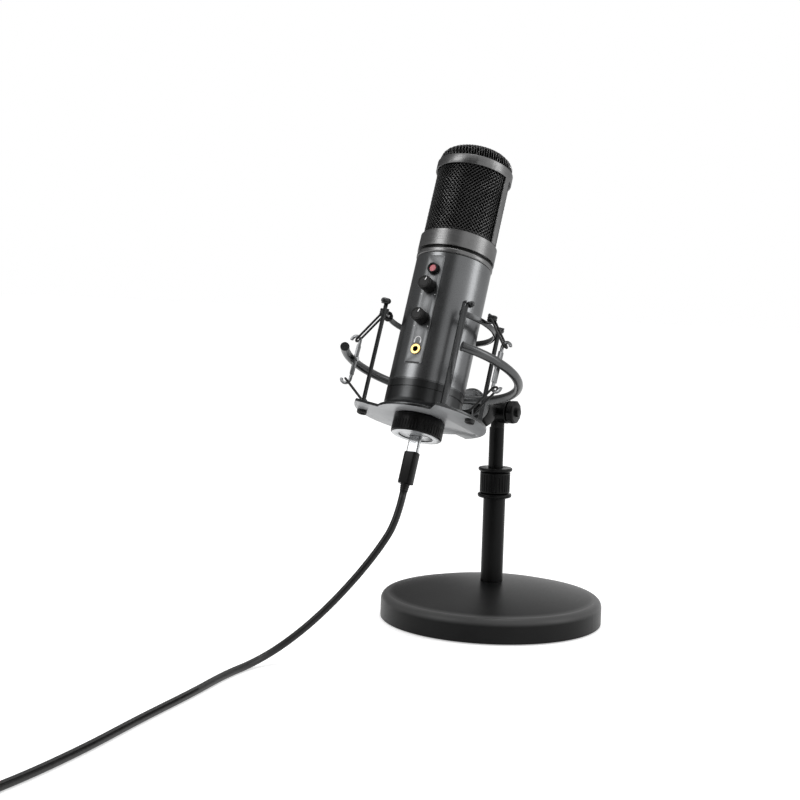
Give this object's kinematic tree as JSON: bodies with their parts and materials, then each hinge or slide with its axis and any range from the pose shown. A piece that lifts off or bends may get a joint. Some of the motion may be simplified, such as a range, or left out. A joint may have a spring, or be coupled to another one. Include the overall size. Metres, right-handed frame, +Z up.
{
  "type": "desktop microphone",
  "caption": "Side-address desktop microphone in a tilting band-hung cradle, on a telescopic post with a round weighted base and a USB cord.",
  "frame": {"origin": "centre of the base's underside, on the surface it stands on", "axes": "+Z up; -Y the side that the microphone leans out over and faces; +X to the right seen from the front"},
  "size_m": [0.15, 0.6789, 0.316],
  "materials": {
    "base_metal": "satin charcoal coating",
    "foot_rubber": "matt",
    "black_metal": "satin black",
    "steel": "plain",
    "grey_metal": "satin light grey",
    "yoke_metal": "satin dark grey",
    "barrel_metal": "bead blasted and anodised gunmetal",
    "ring_metal": "turned and anodised gunmetal",
    "panel_metal": "satin grey",
    "mesh_metal": "black woven wire",
    "black_plastic": "matt black",
    "button_plastic": "translucent red",
    "gold": "gold plated",
    "board": "green resist",
    "elastic": "woven black cover",
    "foam": "open cell foam",
    "cord_rubber": "smooth matt black"
  },
  "bodies": {
    "stand": {"base_disc": "base_metal", "base_pad": "foot_rubber", "base_screw": "steel", "tube_plug": "black_plastic", "lower_tube": "black_metal", "clamp_sleeve": "black_metal", "clamp_cap": "black_metal", "collet": "black_plastic", "usb_cord": "cord_rubber", "cord_coil": "cord_rubber", "host_relief": "black_plastic", "host_grip": "black_plastic", "host_shell": "steel"},
    "clamp_nut": {"clamp_nut": "black_metal"},
    "mast_foot": {"mast_foot": "black_plastic"},
    "mast": {"upper_tube": "black_metal", "swivel_head": "black_metal"},
    "tilt_knob": {"tilt_knob": "black_metal", "tilt_bolt": "steel"},
    "yoke": {"yoke_bar": "yoke_metal", "bar_caps": "yoke_metal", "stem_ring": "grey_metal", "tilt_arm": "black_metal", "left_post": "grey_metal", "right_post": "grey_metal", "post_rivets": "steel", "upper_bands": "elastic", "lower_bands": "elastic"},
    "microphone": {"cradle_plate": "grey_metal", "front_rods": "grey_metal", "rear_rods": "grey_metal", "cradle_hoop": "grey_metal", "mic_barrel": "barrel_metal", "front_panel": "panel_metal", "port_neck": "barrel_metal", "usb_socket": "steel", "grille_base": "ring_metal", "bead_ring": "ring_metal", "grille_frame": "ring_metal", "grille_mesh": "mesh_metal", "grille_dome": "mesh_metal", "capsule_plate": "black_plastic", "foam_liner": "foam", "capsule": "gold", "capsule_saddle": "black_plastic", "circuit_board": "board", "volume_pot": "black_plastic", "gain_pot": "black_plastic", "mute_bezel": "black_plastic", "mute_switch": "black_plastic", "headphone_jack": "black_plastic", "jack_nut": "gold", "plug_shell": "steel", "plug_grip": "black_plastic", "plug_relief": "black_plastic"},
    "retaining_nut": {"retaining_nut": "black_metal"},
    "gain_knob": {"gain_knob": "black_plastic"},
    "volume_knob": {"volume_knob": "black_plastic"},
    "mute_button": {"mute_button": "button_plastic"}
  },
  "joints": [
    {"name": "clamp_turn", "type": "hinge", "parent": "stand", "child": "clamp_nut", "pos_m": [0, 0, 0.0936], "axis": [0, 0, 1], "range_deg": [-120, 30]},
    {"name": "height", "type": "slide", "parent": "stand", "child": "mast_foot", "axis": [0, 0, 1], "range_m": [-0.015, 0.04]},
    {"name": "pan", "type": "hinge", "parent": "mast_foot", "child": "mast", "pos_m": [0, 0, 0.1], "axis": [0, 0, 1], "range_deg": [-90, 90]},
    {"name": "knob_turn", "type": "hinge", "parent": "mast", "child": "tilt_knob", "pos_m": [0.01, 0, 0.1423], "axis": [1, 0, 0], "range_deg": [-30, 270]},
    {"name": "tilt", "type": "hinge", "parent": "mast", "child": "yoke", "pos_m": [0, 0, 0.1423], "axis": [1, 0, 0], "range_deg": [-35, 25], "deforming": ["usb_cord"]},
    {"name": "bounce", "type": "slide", "parent": "yoke", "child": "microphone", "axis": [0, 0.3795, 0.9252], "range_m": [-0.003, 0.003], "stiffness_N_per_m": 2500, "springref_m": 0.00129, "deforming": ["upper_bands", "lower_bands"]},
    {"name": "nut_turn", "type": "hinge", "parent": "microphone", "child": "retaining_nut", "pos_m": [-0.0029, -0.10571, 0.13905], "axis": [0, 0.3795, 0.9252], "range_deg": [-20, 340]},
    {"name": "gain_turn", "type": "hinge", "parent": "microphone", "child": "gain_knob", "pos_m": [-0.0029, -0.0999, 0.22702], "axis": [0, -0.9252, 0.3795], "range_deg": [-140, 140]},
    {"name": "volume_turn", "type": "hinge", "parent": "microphone", "child": "volume_knob", "pos_m": [-0.0029, -0.10783, 0.20768], "axis": [0, -0.9252, 0.3795], "range_deg": [-140, 140]},
    {"name": "mute_press", "type": "slide", "parent": "microphone", "child": "mute_button", "axis": [0, 0.9252, -0.3795], "range_m": [0, 0.0005], "stiffness_N_per_m": 300, "springref_m": -0.002}
  ]
}
